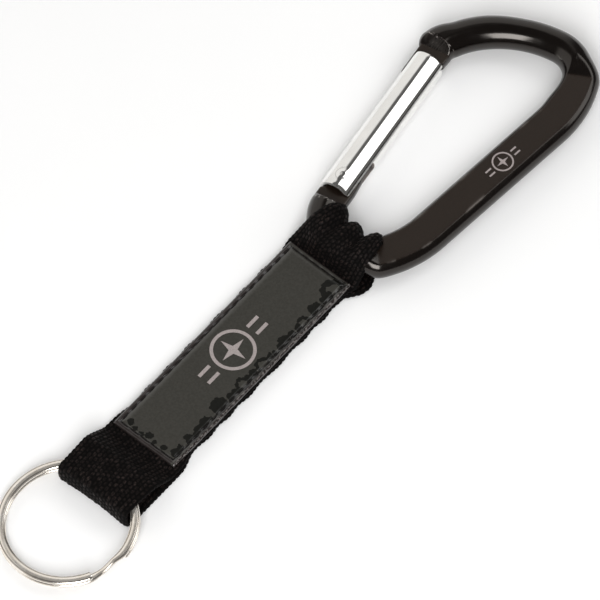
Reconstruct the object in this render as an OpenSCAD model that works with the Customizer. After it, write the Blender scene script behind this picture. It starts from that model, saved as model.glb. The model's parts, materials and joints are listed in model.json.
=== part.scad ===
// Carabiner keyring: a pressed aluminium snap hook, a folded webbing strap with a
// windowed label sewn on it, and a two-turn split ring.
// It lies flat: X runs along the strap towards the hook's crown, Y towards the gate.

/* [Hook bar] */
// Diameter of the round bar
bar_d = 7.3; // [7:0.1:7.5]
// Height of the bar's middle plane above the table
bar_z = 5.05; // [5.05:0.05:5.3]
// Thickness of the pressed spine between its flats
spine_t = 5.2; // [4.8:0.1:5.6]
// Width of each flat on the spine
spine_flat_w = 6.7; // [6.3:0.1:7]
// How far each rounded side of the spine stands out past its flats
spine_bulge = 1.3; // [1.1:0.1:1.5]
// Thickness of the hinge tab and of the nose tongue
tab_t = 2.6; // [2.4:0.1:2.8]

/* [Gate] */
// Outside diameter of the gate tube
tube_d = 7.7; // [7.6:0.1:8]
// Wall thickness of the gate tube
tube_wall = 0.9; // [0.8:0.05:0.95]
// Tube's length past the hinge, towards the nose
tube_reach = 36.6; // [36:0.1:37]
// Tube's length behind the hinge
tube_heel = 3.4; // [3.2:0.1:3.6]
// Width of the slots in both ends of the tube
slot_w = 3.1; // [3:0.1:3.2]

/* [Hinge and spring] */
// Diameter of the rivet's shank
rivet_d = 2.4; // [2.2:0.1:2.6]
// Diameter of the rivet's heads
rivet_head_d = 3.8; // [3.4:0.1:4]
// Radial play between the rivet and the tab's bore
hinge_play = 0.05; // [0.03:0.01:0.08]
// Diameter of the spring's wire
spring_wire = 0.5; // [0.4:0.05:0.6]
// Number of turns in the spring
spring_turns = 10; // [8:1:12]

/* [Strap] */
// Width of the webbing
web_w = 19; // [18:0.5:20]
// Thickness of one layer of webbing
web_t = 1.2; // [1:0.05:1.2]
// Width of the webbing where it is bunched to pass through the hook
bunch_w = 9.4; // [9:0.1:9.5]
// Distance of the strap's long axis from the origin
strap_y = 1.4; // [1.2:0.1:1.6]
// Outer height of the tail loop that holds the ring
tail_h = 6.7; // [6.7:0.1:7.2]

/* [Label] */
// Length of the label window
label_l = 61; // [55:0.5:61]
// Width of the label window
label_w = 17.4; // [17:0.1:18]
// Thickness of the window over the webbing
window_t = 0.9; // [0.8:0.05:1]
// Thickness of the card behind the window
insert_t = 0.35; // [0.3:0.05:0.4]
// Distance from the window's edge to the stitch line
stitch_inset = 1.2; // [1:0.1:1.4]
// Pitch of the stitches
stitch_pitch = 2.9; // [2.6:0.1:3.2]
// Diameter of the sewing thread
thread_d = 0.42; // [0.3:0.02:0.5]

/* [Split ring] */
// Outside diameter of the ring
ring_d = 32; // [31:0.5:32]
// Radial width of the ring's wire
ring_wire_w = 2.1; // [1.9:0.1:2.2]
// Thickness of the ring's wire in each turn
ring_wire_t = 1.1; // [1:0.05:1.15]

/* [Hidden] */
$fn = 64;
tiny = 0.01;

// --- Hook bar: its centreline runs from the hinge round to the nose ---
hinge = [29.4, 10.4];
gate_angle = 8;         // closed gate's slant to the strap
hinge_heading = 180 + gate_angle;
tab_l = 6;
// Each row is [radius, left turn] for an arc, or [length, 0] for a straight.
bar_run = [
    [8, 82],        // heel, beside the hinge
    [3.5, 0],       // foot, which the webbing turns round
    [8, 57],        // toe
    [25.5, 28.5],   // run up to the spine
    [38.2, 0],      // spine
    [24.5, 30.5],   // run down from the spine
    [8.6, 34],      // crown's tight corner, still pressed flat
    [8.6, 40],      // crown's tight corner, round again
    [27, 39.5],     // crown
    [21.5, 29]      // shoulder above the nose
];
first_flat = 3;
last_flat = 6;
seam_gap = 0.04;
seam_growth = 1.006;
nose_shoulder = 41;     // from the hinge, along the closed gate
nose_ramp = 1.1;
tongue_tip = 30.6;
tongue_in = 2.5;        // tongue's inner edge, from the gate's axis
tongue_out = 4.1;       // tongue's outer edge, from the gate's axis
tab_in = 3.8;           // tab's edge on the hook's inner side
tab_tip = 2;            // tab's end past the rivet
tab_shoulder = 6.2;     // where the round bar begins behind the rivet
tab_ramp = 1;
tab_tip_r = 2.6;        // tab's round end, which turns inside the tube's bore
tab_step = 3.8;         // where the tab narrows behind the rivet, to pass inside the tube

function seam_turn(r) = seam_gap / r * 180 / PI;
function unit(a) = [cos(a), sin(a)];
function left(a) = [-sin(a), cos(a)];
function advance(at, row) =
    row[1] == 0
    ? [at[0] + row[0] * unit(at[1]), at[1]]
    : [at[0] + row[0] * (left(at[1]) - left(at[1] + row[1])), at[1] + row[1]];
function station(i) =
    i == 0
    ? [hinge + tab_l * unit(hinge_heading), hinge_heading]
    : advance(station(i - 1), bar_run[i - 1]);

// --- Gate ---
bore_r = tube_d / 2 - tube_wall;
nose_slot = 30;             // start of the nose slot, from the hinge
hinge_slot = 7.4;           // end of the hinge slot, from the hinge
inner_notch = 0.8;          // depth of the small notch on the tube's inner side
neck_at = 24;               // inner neck that the spring pushes against
neck_l = 1.2;
neck_r = 2.1;
plunger_gap = 0.12;
plunger_head_t = 1.5;
plunger_head_r = bore_r - 0.15;
plunger_pin_r = 1.3;
plunger_pin_l = 4;
spring_from = tab_tip + plunger_gap + plunger_head_t + 0.05;
spring_to = neck_at - 0.05;
spring_r = 2.1;
rivet_rise = 0.35;          // height of a rivet head over the tube

// --- Strap: positions along X ---
foot = station(1)[0];
top_end = foot[0] - 4.97;           // end of the flat panel at the top loop
tail_start = -51.8;
panel_start = tail_start + 0.2;
loop_play = 0.2;
loop_in_r = bar_d / 2 + loop_play;
loop_out_r = bar_z;
loop_reach = 2.3;                   // how far the loop's inner end lies past the foot
bunch_y = foot[1] - 1.25;           // middle of the bunched part
wing_low = 9.9;                     // loop's edges, from the strap's axis
wing_high = 7.4;
wing_reach = 1.2;                   // how far the full-width wings run past the foot
tail_fold_x = -67.4;
fold_r = 1.5;                       // inner radius of the fold's two corners
fold_x = tail_fold_x + web_t + fold_r;
tail_rise = 6.1;                    // length over which the tail's front layer climbs
tail_open = 1.4;                    // where the tail's two layers part, from the panel's edge
tail_lean = 0.4;                    // how far the layer's inner corner lies past its outer one
window_x = top_end - 0.1 - label_l;
window_z = 2 * web_t;
pocket_margin = 1.8;

// --- Ring ---
ring_gap = 0.06;
ring_tilt = [-4.5, -3.5, 0];            // it leans on the loop's inside and rests on its far edge
ring_slope = acos(cos(ring_tilt[0]) * cos(ring_tilt[1]));
ring_lift = ring_d / 2 * sin(ring_slope) + (ring_wire_t + ring_gap / 2) * cos(ring_slope);
ring_at = [-75.4, strap_y, ring_lift];
upper_turn = [-94, 335];            // [start, sweep] of each turn
lower_turn = [-85.5, 333.5];

// Lays its children out along the closed gate, with the hinge at the origin.
module on_gate() {
    translate([hinge[0], hinge[1], bar_z]) rotate([0, 0, gate_angle]) children();
}

// --- Hook ---
module round_section() {
    circle(d = bar_d);
}

module spine_section() {
    side_r = (pow(spine_t / 2, 2) + pow(spine_bulge, 2)) / (2 * spine_bulge);
    intersection() {
        square([4 * spine_flat_w, spine_t], center = true);
        union() {
            square([spine_flat_w, spine_t], center = true);
            for (side = [-1, 1])
                translate([side * (spine_flat_w / 2 + spine_bulge - side_r), 0])
                    circle(r = side_r);
        }
    }
}

module section(i) {
    if (i >= first_flat && i <= last_flat) spine_section();
    else round_section();
}

// One stretch of the bar, ending just short of its neighbours inside their seams.
module bar_piece(i) {
    at = station(i);
    size = bar_run[i][0];
    turn = bar_run[i][1];
    translate([at[0][0], at[0][1], bar_z]) rotate([0, 0, at[1]])
        if (turn == 0)
            translate([seam_gap, 0, 0]) rotate([90, 0, 90])
                linear_extrude(size - 2 * seam_gap) section(i);
        else
            translate([0, size, 0]) rotate([0, 0, seam_turn(size) - 90])
                rotate_extrude(angle = turn - 2 * seam_turn(size))
                    translate([size, 0]) section(i);
}

// A thin slice, a hair larger than the bar, where two stretches meet.
module seam(i) {
    at = station(i);
    translate([at[0][0], at[0][1], bar_z]) rotate([0, 0, at[1]]) rotate([90, 0, 90])
        linear_extrude(6 * seam_gap, center = true) scale(seam_growth) {
            section(i - 1);
            section(i);
        }
}

// Round bar that ramps down to a flat tab, laid out in the gate's frame.
module hinge_tab() {
    difference() {
        union() {
            intersection() {
                translate([-tab_l + seam_gap, 0, 0]) rotate([0, 90, 0])
                    cylinder(d = bar_d, h = tab_l);
                rotate([90, 0, 0]) linear_extrude(2 * bar_d, center = true) polygon([
                    [-tab_l - 1, -bar_d], [-tab_shoulder + tab_ramp / 2, -bar_d / 2],
                    [-tab_shoulder + tab_ramp, -tab_t / 2], [0, -tab_t / 2], [0, tab_t / 2],
                    [-tab_shoulder + tab_ramp, tab_t / 2],
                    [-tab_shoulder + tab_ramp / 2, bar_d / 2], [-tab_l - 1, bar_d]
                ]);
            }
            translate([-tab_l + 1, -tab_in, -tab_t / 2])
                cube([tab_l - 1 + tab_tip, tab_in, tab_t]);
            intersection() {
                cylinder(r = tab_tip_r, h = tab_t, center = true);
                translate([-tab_tip_r, -tiny, -tab_t])
                    cube([tab_tip_r + tab_tip, bar_d, 2 * tab_t]);
            }
        }
        translate([-tab_step, tab_tip_r, -bar_d]) cube([2 * tab_step, bar_d, 2 * bar_d]);
        cylinder(d = rivet_d + 2 * hinge_play, h = bar_d, center = true);
    }
}

module nose_tongue() {
    tip_r = 0.8;
    width = tongue_out + tongue_in;
    translate([tongue_tip + tip_r, -tongue_in, -tab_t / 2])
        cube([nose_shoulder - tongue_tip - tip_r + 1, width, tab_t]);
    translate([tongue_tip, -tongue_in + tip_r, -tab_t / 2])
        cube([tip_r + tiny, width - 2 * tip_r, tab_t]);
    for (y = [-tongue_in + tip_r, tongue_out - tip_r])
        translate([tongue_tip + tip_r, y, 0]) cylinder(r = tip_r, h = tab_t, center = true);
}

// Everything that the shoulder over the nose loses, above and below the tongue.
module nose_cut() {
    far = 2 * bar_d;
    for (up = [-1, 1])
        rotate([90, 0, 0]) linear_extrude(2 * far, center = true) polygon([
            [nose_shoulder - far, up * tab_t / 2],
            [nose_shoulder - nose_ramp, up * tab_t / 2],
            [nose_shoulder, up * bar_d / 2],
            [nose_shoulder, up * far], [nose_shoulder - far, up * far]
        ]);
}

module carabiner_frame() {
    last = len(bar_run) - 1;
    color([0.10, 0.085, 0.075]) {
        for (i = [0 : last - 1]) bar_piece(i);
        for (i = [0 : last]) seam(i);
        difference() {
            bar_piece(last);
            on_gate() nose_cut();
        }
        on_gate() hinge_tab();
        on_gate() nose_tongue();
    }
}

// --- Gate parts ---
module gate_tube() {
    color([0.86, 0.86, 0.85]) on_gate() difference() {
        rotate([0, 90, 0]) translate([0, 0, -tube_heel])
            cylinder(d = tube_d, h = tube_heel + tube_reach);
        rotate([0, 90, 0]) translate([0, 0, -tube_heel - 1])
            cylinder(r = bore_r, h = tube_heel + 1 + neck_at);
        rotate([0, 90, 0]) translate([0, 0, neck_at - 1])
            cylinder(r = neck_r, h = neck_l + 2);
        rotate([0, 90, 0]) translate([0, 0, neck_at + neck_l])
            cylinder(r = bore_r, h = tube_reach);
        translate([-tube_heel - 1, -tube_d, -slot_w / 2])
            cube([hinge_slot + tube_heel + 1, tube_d, slot_w]);
        translate([nose_slot, 0, -slot_w / 2]) cube([tube_reach, tube_d, slot_w]);
        translate([tube_reach - inner_notch, -tube_d, -slot_w / 2])
            cube([tube_reach, tube_d, slot_w]);
        cylinder(d = rivet_d, h = 2 * tube_d, center = true);
    }
}

module hinge_rivet() {
    reach = tube_d / 2;
    color([0.80, 0.80, 0.79]) on_gate() {
        cylinder(d = rivet_d, h = tube_d, center = true);
        difference() {
            cylinder(d = rivet_head_d, h = tube_d + 2 * rivet_rise, center = true);
            rotate([0, 90, 0]) cylinder(r = reach, h = 2 * tube_d, center = true);
        }
    }
}

module gate_spring() {
    sides = 6;
    steps = 14;
    rings = spring_turns * steps;
    pitch = (spring_to - spring_from - spring_wire) / spring_turns;
    function wire_point(i, j) =
        let (a = 360 * i / steps, b = 360 * j / sides, w = spring_wire / 2,
            r = spring_r + w * cos(b))
        [spring_from + w + pitch * i / steps + w * sin(b), r * cos(a), r * sin(a)];
    points = [for (i = [0 : rings]) for (j = [0 : sides - 1]) wire_point(i, j)];
    walls = [for (i = [0 : rings - 1]) for (j = [0 : sides - 1])
        let (k = (j + 1) % sides)
        [i * sides + j, (i + 1) * sides + j, (i + 1) * sides + k, i * sides + k]];
    first_cap = [for (j = [0 : sides - 1]) j];
    last_cap = [for (j = [sides - 1 : -1 : 0]) rings * sides + j];
    color([0.62, 0.62, 0.60]) on_gate()
        polyhedron(points = points, faces = concat(walls, [first_cap, last_cap]));
}

module spring_plunger() {
    from = tab_tip + plunger_gap;
    color([0.74, 0.74, 0.72]) on_gate() rotate([0, 90, 0]) {
        translate([0, 0, from]) cylinder(r = plunger_head_r, h = plunger_head_t);
        translate([0, 0, from + plunger_head_t - tiny])
            cylinder(r = plunger_pin_r, h = plunger_pin_l);
    }
}

// --- Webbing ---
// Extrudes an outline drawn in X and Z over a stretch of Y.
module across(low, high) {
    translate([0, high, 0]) rotate([90, 0, 0]) linear_extrude(high - low) children();
}

module stadium(r) {
    translate([foot[0], bar_z]) circle(r = r);
    translate([foot[0] + loop_reach, bar_z]) circle(r = r);
    translate([foot[0], bar_z - r]) square([loop_reach, 2 * r]);
}

module top_loop_outline() {
    difference() {
        union() {
            stadium(loop_out_r);
            translate([top_end, 0]) square([foot[0] - top_end, 2 * web_t]);
        }
        stadium(loop_in_r);
    }
}

module webbing_top_loop() {
    color([0.07, 0.065, 0.06]) {
        across(bunch_y - bunch_w / 2, bunch_y + bunch_w / 2) top_loop_outline();
        across(strap_y - wing_low, strap_y + wing_high) intersection() {
            top_loop_outline();
            translate([top_end - 1, -1])
                square([foot[0] + wing_reach - top_end + 1, 4 * bar_z]);
        }
    }
}

module web_layer(z) {
    color([0.07, 0.065, 0.06]) translate([panel_start, strap_y - web_w / 2, z])
        cube([top_end - panel_start, web_w, web_t]);
}

module webbing_front() {
    web_layer(web_t);
}

module webbing_back() {
    web_layer(0);
}

// Folded end of the tail loop, on its outer face or set in from it.
module fold_end(inset) {
    r = fold_r + web_t - inset;
    for (z = [inset + r, tail_h - inset - r]) translate([fold_x, z]) circle(r = r);
    translate([tail_fold_x + inset, inset + r]) square([r, tail_h - 2 * (inset + r)]);
}

module webbing_tail_loop() {
    color([0.07, 0.065, 0.06]) across(strap_y - web_w / 2, strap_y + web_w / 2)
        difference() {
            union() {
                fold_end(0);
                polygon([
                    [tail_start, 0], [tail_start, 2 * web_t],
                    [tail_start - tail_rise, tail_h], [fold_x, tail_h], [fold_x, 0]
                ]);
            }
            fold_end(web_t);
            polygon([
                [tail_start - tail_open, web_t],
                [tail_start - tail_rise - tail_lean, tail_h - web_t],
                [fold_x, tail_h - web_t], [fold_x, web_t]
            ]);
        }
}

// --- Label ---
module label_plate(margin, z, t) {
    translate([window_x + margin, strap_y - label_w / 2 + margin, z])
        cube([label_l - 2 * margin, label_w - 2 * margin, t]);
}

module label_insert() {
    color([0.25, 0.25, 0.23]) label_plate(pocket_margin, window_z, insert_t);
}

module label_window() {
    color([0.2, 0.2, 0.19]) difference() {
        label_plate(0, window_z, window_t);
        label_plate(pocket_margin, window_z - 1, insert_t + 1);
    }
}

module stitch_row(l, along) {
    count = floor((l + tiny) / stitch_pitch);
    stitch_l = 0.75 * stitch_pitch;
    for (i = [0 : count - 1])
        rotate([0, 0, along]) translate([(i - (count - 1) / 2) * stitch_pitch, 0, 0])
            rotate([0, 90, 0]) cylinder(d = thread_d, h = stitch_l, center = true);
}

module label_stitching() {
    side_l = label_l - 2 * stitch_inset;
    end_l = label_w - 2 * stitch_inset;
    top = window_z + window_t + thread_d / 2;
    color([0.05, 0.045, 0.04])
        translate([window_x + label_l / 2, strap_y, top]) {
            for (side = [-1, 1]) {
                translate([0, side * end_l / 2, 0]) stitch_row(side_l, 0);
                translate([side * side_l / 2, 0, 0]) stitch_row(end_l - stitch_pitch, 90);
            }
        }
}

// --- Split ring ---
module wire_section(level) {
    translate([ring_d / 2 - ring_wire_w, level]) square([ring_wire_w, ring_wire_t]);
}

module wire_turn(turn, level) {
    rotate([0, 0, turn[0]]) rotate_extrude(angle = turn[1]) wire_section(level);
}

// The short slant where the wire steps from its lower turn to its upper one.
module ring_jog(low, high) {
    from = lower_turn[0] + lower_turn[1];
    to = upper_turn[0] + 360;
    half = (ring_d - ring_wire_w) / 2 * sin((to - from) / 2);
    tail = 2 * half;
    intersection() {
        rotate([0, 0, from - 1]) rotate_extrude(angle = to - from + 2)
            translate([ring_d / 2 - ring_wire_w - tiny, -2 * ring_wire_t])
                square([ring_wire_w + 2 * tiny, 4 * ring_wire_t]);
        rotate([0, 0, (from + to) / 2]) rotate([90, 0, 90]) linear_extrude(ring_d)
            polygon([
                [-tail, low + tiny], [-half, low + tiny], [half, high + tiny],
                [tail, high + tiny], [tail, high + ring_wire_t - tiny],
                [half, high + ring_wire_t - tiny], [-half, low + ring_wire_t - tiny],
                [-tail, low + ring_wire_t - tiny]
            ]);
    }
}

module split_ring() {
    low = -ring_wire_t - ring_gap / 2;
    high = ring_gap / 2;
    color([0.78, 0.74, 0.68]) translate(ring_at) rotate(ring_tilt) {
        wire_turn(upper_turn, high);
        wire_turn(lower_turn, low);
        ring_jog(low, high);
    }
}

carabiner_frame();
gate_tube();
hinge_rivet();
gate_spring();
spring_plunger();
webbing_top_loop();
webbing_front();
webbing_back();
webbing_tail_loop();
label_insert();
label_window();
label_stitching();
split_ring();
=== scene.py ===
"""Carabiner keyring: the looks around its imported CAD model.

The object lies flat: X runs along the strap towards the hook's crown, Y towards the gate, Z up.
Lengths are in millimetres up to lay_mesh(), which makes metres of them.
"""
import json
import math
from typing import NamedTuple

import bpy
import numpy as np
from mathutils import Matrix, Vector


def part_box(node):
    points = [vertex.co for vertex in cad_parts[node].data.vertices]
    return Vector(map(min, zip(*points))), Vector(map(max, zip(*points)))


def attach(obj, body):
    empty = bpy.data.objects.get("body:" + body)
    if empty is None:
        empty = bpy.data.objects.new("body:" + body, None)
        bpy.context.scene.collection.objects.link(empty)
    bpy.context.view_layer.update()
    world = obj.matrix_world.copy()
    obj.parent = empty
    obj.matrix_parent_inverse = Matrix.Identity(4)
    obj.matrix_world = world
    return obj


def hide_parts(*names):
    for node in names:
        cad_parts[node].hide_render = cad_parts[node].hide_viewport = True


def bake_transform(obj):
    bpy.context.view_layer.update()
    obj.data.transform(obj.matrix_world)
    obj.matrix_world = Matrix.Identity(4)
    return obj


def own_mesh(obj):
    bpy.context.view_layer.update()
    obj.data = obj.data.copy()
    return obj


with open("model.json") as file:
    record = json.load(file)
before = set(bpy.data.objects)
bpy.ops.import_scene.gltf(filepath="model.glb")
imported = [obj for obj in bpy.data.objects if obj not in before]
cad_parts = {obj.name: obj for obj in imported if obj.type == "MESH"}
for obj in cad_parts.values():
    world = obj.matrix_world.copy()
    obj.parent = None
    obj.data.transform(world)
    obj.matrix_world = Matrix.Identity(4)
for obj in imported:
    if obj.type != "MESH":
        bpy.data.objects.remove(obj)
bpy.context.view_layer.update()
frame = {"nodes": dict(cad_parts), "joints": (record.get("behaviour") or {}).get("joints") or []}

MM = 0.001
SEED = 7
rng = np.random.default_rng(SEED)


# --- Dimensions shared with the CAD model, read from the frame where a node shows them ---
def mm_box(node):
    low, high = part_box(node)
    return np.array(low) / MM, np.array(high) / MM


def joint(name):
    return next(j for j in frame["joints"] if j["name"] == name)


HINGE = np.array(joint("gate_hinge")["pos_m"]) / MM
BAR_Z = HINGE[2]
SLIDE_AXIS = joint("plunger_slide")["axis"]
GATE_TURN = math.atan2(SLIDE_AXIS[1], SLIDE_AXIS[0])
GATE_X = np.array([math.cos(GATE_TURN), math.sin(GATE_TURN)])
GATE_Y = np.array([-GATE_X[1], GATE_X[0]])
RING_AT = np.array(joint("ring_turn")["pos_m"]) / MM
RING_AXIS = Vector(joint("ring_turn")["axis"])

# The hook's round bar, and how far behind the hinge it begins
BAR_R = 3.65
TAB_L = 6.0
# Its plan from there: (radius, left turn in degrees) for an arc, (length, 0) for a straight
BAR_RUN = [
    (8, 82), (3.5, 0), (8, 57), (25.5, 28.5), (38.2, 0),
    (24.5, 30.5), (8.6, 34), (8.6, 40), (27, 39.5), (21.5, 29),
]
# The gate tube's outside and bore
TUBE_R = 3.85
BORE_R = 2.95
STRAP_Y = (mm_box("webbing_front")[0][1] + mm_box("webbing_front")[1][1]) / 2
WEB_W = 19.0
LABEL_LOW, LABEL_HIGH = mm_box("label_window")
# The border reaches this much further on the gate's side than the CAD's
LABEL_WIDER = 0.3
LABEL_HIGH[1] += LABEL_WIDER


# --- Mesh helpers ---
def lay_mesh(name, points, faces, material, sharp=None):
    """A smooth-shaded object from points in millimetres; edges over sharp degrees stay sharp."""
    mesh = bpy.data.meshes.new(name)
    mesh.from_pydata((np.asarray(points) * MM).tolist(), [], [list(map(int, f)) for f in faces])
    mesh.validate()
    mesh.shade_smooth()
    if sharp is not None:
        mesh.set_sharp_from_angle(angle=math.radians(sharp))
    mesh.materials.append(material)
    thing = bpy.data.objects.new(name, mesh)
    bpy.context.scene.collection.objects.link(thing)
    return thing


def grid_faces(rows, columns, wrap_rows=False, wrap_columns=False, first=0):
    """Quads over a rows x columns grid of points, closed on itself where asked."""
    i = np.arange(rows if wrap_rows else rows - 1)[:, None]
    j = np.arange(columns if wrap_columns else columns - 1)[None, :]
    i2 = (i + 1) % rows
    j2 = (j + 1) % columns
    quads = np.stack(np.broadcast_arrays(
        i * columns + j, i * columns + j2, i2 * columns + j2, i2 * columns + j), -1)
    return (quads.reshape(-1, 4) + first).tolist()


def capped_tube(rings):
    """Points and faces of a closed tube from (n, m, 3) rings, with both ends filled."""
    n, m, _ = rings.shape
    faces = grid_faces(n, m, wrap_columns=True)
    faces.append(list(range(m))[::-1])
    faces.append(list(range((n - 1) * m, n * m)))
    return rings.reshape(-1, 3), faces


def store(thing, name, values):
    """Keeps one number per point on a mesh, for its material to read."""
    flat = np.asarray(values, np.float32).reshape(-1)
    thing.data.attributes.new(name, "FLOAT", "POINT").data.foreach_set("value", flat)


def smooth(t):
    """An eased step from 0 to 1, flat outside that range."""
    t = np.clip(t, 0, 1)
    return t * t * (3 - 2 * t)


def full_turn(count):
    """Evenly spaced angles round a circle."""
    return np.linspace(0, 2 * math.pi, count, endpoint=False)


def on_gate(points):
    """Puts points laid out along the closed gate, from its hinge, in the object's frame."""
    p = np.asarray(points, float)
    plan = p[..., 0:1] * GATE_X + p[..., 1:2] * GATE_Y + HINGE[:2]
    return np.concatenate([plan, p[..., 2:3] + BAR_Z], -1)


# --- Materials ---
class Look:
    """A procedural material with its shader and helpers for its nodes."""

    def __init__(self, name, base, roughness, metallic=0.0, **sockets):
        self.material = bpy.data.materials.new(name)
        self.material.use_nodes = True
        self.tree = self.material.node_tree
        self.shader = self.tree.nodes["Principled BSDF"]
        sockets.update(Base_Color=(*base, 1), Roughness=roughness, Metallic=metallic)
        for socket, value in sockets.items():
            self.shader.inputs[socket.replace("_", " ")].default_value = value
        self.coords = self.tree.nodes.new("ShaderNodeTexCoord").outputs["Object"]

    def link(self, a, b):
        self.tree.links.new(a, b)

    def noise(self, size_mm, detail=3.0, stretch=(1, 1, 1), turn=0.0):
        """Noise of one grain; a stretch below 1 draws it out along that axis."""
        mapping = self.tree.nodes.new("ShaderNodeMapping")
        mapping.inputs["Scale"].default_value = [s / (size_mm * MM) for s in stretch]
        mapping.inputs["Rotation"].default_value[2] = turn
        self.link(self.coords, mapping.inputs["Vector"])
        node = self.tree.nodes.new("ShaderNodeTexNoise")
        node.inputs["Scale"].default_value = 1.0
        node.inputs["Detail"].default_value = detail
        self.link(mapping.outputs["Vector"], node.inputs["Vector"])
        return node.outputs["Fac"]

    def ramp(self, source, low, high, at=(0.35, 0.65)):
        """From low to high, each a grey or a colour, as the source passes between two levels."""
        node = self.tree.nodes.new("ShaderNodeValToRGB")
        for stop, place, colour in zip(node.color_ramp.elements, at, (low, high)):
            stop.position = place
            stop.color = (*colour, 1) if hasattr(colour, "__len__") else (colour,) * 3 + (1,)
        self.link(source, node.inputs["Fac"])
        return node.outputs["Color"]

    def attribute(self, name):
        """Reads what store() kept on the mesh."""
        node = self.tree.nodes.new("ShaderNodeAttribute")
        node.attribute_name = name
        return node.outputs["Fac"]

    def patches(self, name, noise, at):
        """An attribute, only where a noise has passed between two levels."""
        return self.math("MULTIPLY", self.attribute(name), self.ramp(noise, 0.0, 1.0, at))

    def math(self, operation, a, b):
        node = self.tree.nodes.new("ShaderNodeMath")
        node.operation = operation
        for socket, value in zip(node.inputs, (a, b)):
            if isinstance(value, (int, float)):
                socket.default_value = value
            else:
                self.link(value, socket)
        return node.outputs[0]

    def mix(self, factor, a, b):
        """From a to b, each a colour or a socket, by the factor."""
        node = self.tree.nodes.new("ShaderNodeMix")
        node.data_type = "RGBA"
        self.link(factor, node.inputs["Factor"])
        for socket, value in (("A", a), ("B", b)):
            target = next(s for s in node.inputs if s.name == socket and s.type == "RGBA")
            if hasattr(value, "__len__"):
                target.default_value = (*value, 1)
            else:
                self.link(value, target)
        return next(s for s in node.outputs if s.type == "RGBA")

    def colour(self, source):
        self.link(source, self.shader.inputs["Base Color"])

    def roughness(self, source):
        self.link(source, self.shader.inputs["Roughness"])

    def bump(self, source, height_mm, strength=1.0):
        node = self.tree.nodes.new("ShaderNodeBump")
        node.inputs["Distance"].default_value = height_mm * MM
        node.inputs["Strength"].default_value = strength
        self.link(source, node.inputs["Height"])
        self.link(node.outputs["Normal"], self.shader.inputs["Normal"])


def anodised_look():
    """Drawn bar is near black and glossy; pressed flats are browner and matt. Painted highlights
    light up its creases and edges.
    """
    look = Look("anodised_black", (0.012, 0.008, 0.006), 0.16,
                IOR=1.53, Specular_Tint=(1.0, 0.93, 0.87, 1))
    grain = look.noise(0.22, 2)
    pressed = look.attribute("pressed")
    drawn = look.ramp(grain, (0.0014, 0.0007, 0.0005), (0.003, 0.0018, 0.0014))
    matt = look.ramp(grain, (0.007, 0.0037, 0.002), (0.0135, 0.0078, 0.0049))
    # Painted highlights: patchy lighter glints along the spine's creases.
    crease_glints = look.patches("crease_glint", look.noise(7, 6), (0.56, 0.66))
    # Painted highlights: pale glints on the upper edges of the tab's shoulder and the nose step.
    painted_edge_glints = look.patches("edge_glint", look.noise(0.55, 3), (0.5, 0.6))
    plain = look.mix(crease_glints, look.mix(pressed, drawn, matt), (0.1, 0.088, 0.08))
    look.colour(look.mix(painted_edge_glints, plain, (0.36, 0.33, 0.31)))
    polish = look.ramp(look.noise(2.5, 4), 0.13, 0.19)
    look.roughness(look.mix(pressed, polish, (0.32, 0.32, 0.32)))
    look.bump(grain, 0.0012)
    return look.material


def aluminium_look():
    """Polished and drawn along the gate, with painted shade darkening the inside of its bore, and
    rough where it's cut.
    """
    look = Look("bright_aluminium", (0.9, 0.895, 0.875), 0.09, 1.0)
    bright = look.ramp(look.noise(6, 3), (0.87, 0.865, 0.845), (0.93, 0.925, 0.905))
    # Painted shade: the bore's inside and its shaded rims go dark.
    look.colour(look.mix(look.attribute("bore"), bright, (0.16, 0.13, 0.12)))
    polish = look.ramp(look.noise(0.5, 3, (0.06, 1, 1), -GATE_TURN), 0.06, 0.12)
    look.roughness(look.mix(look.attribute("cut"), polish, (0.5, 0.5, 0.5)))
    look.bump(look.noise(0.3, 2, (0.05, 1, 1), -GATE_TURN), 0.0008)
    return look.material


def steel_look():
    look = Look("drawn_steel", (0.3, 0.25, 0.23), 0.3, 1.0)
    look.colour(look.ramp(look.noise(1.5, 3), (0.22, 0.175, 0.155), (0.4, 0.335, 0.31)))
    look.bump(look.noise(0.2, 2), 0.002)
    return look.material


def nickel_look():
    look = Look("nickel_plate", (0.9, 0.84, 0.76), 0.12, 0.78)
    plate = look.ramp(look.noise(3, 3), (0.86, 0.79, 0.7), (0.95, 0.9, 0.83))
    # Painted dark reflection lines along the wire.
    look.colour(look.mix(look.attribute("painted_dark_lines"), plate, (0.03, 0.018, 0.008)))
    look.roughness(look.ramp(look.noise(0.8, 3), 0.13, 0.2))
    look.bump(look.noise(2.5, 1), 0.0015)
    return look.material


def webbing_look():
    """Painted shade, near black, between the yarns, and painted dull brownish glints on top of
    them.
    """
    look = Look("black_webbing", (0.012, 0.01, 0.009), 0.55, Specular_IOR_Level=0.09)
    fibres = look.noise(0.2, 2, (0.35, 1, 1))
    tops = look.attribute("weave")
    shade = (0.0006, 0.0003, 0.0002)
    lit = look.ramp(fibres, (0.002, 0.0011, 0.0009), (0.046, 0.032, 0.0285), (0.45, 0.75))
    # Painted light by yarn height: tops lit, the hollows between them in painted shade.
    look.colour(look.mix(look.ramp(tops, 0.0, 1.0, (0.35, 0.95)), shade, lit))
    look.roughness(look.ramp(tops, 0.8, 0.42, (0.3, 0.9)))
    look.bump(fibres, 0.04, 0.9)
    return look.material


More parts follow.
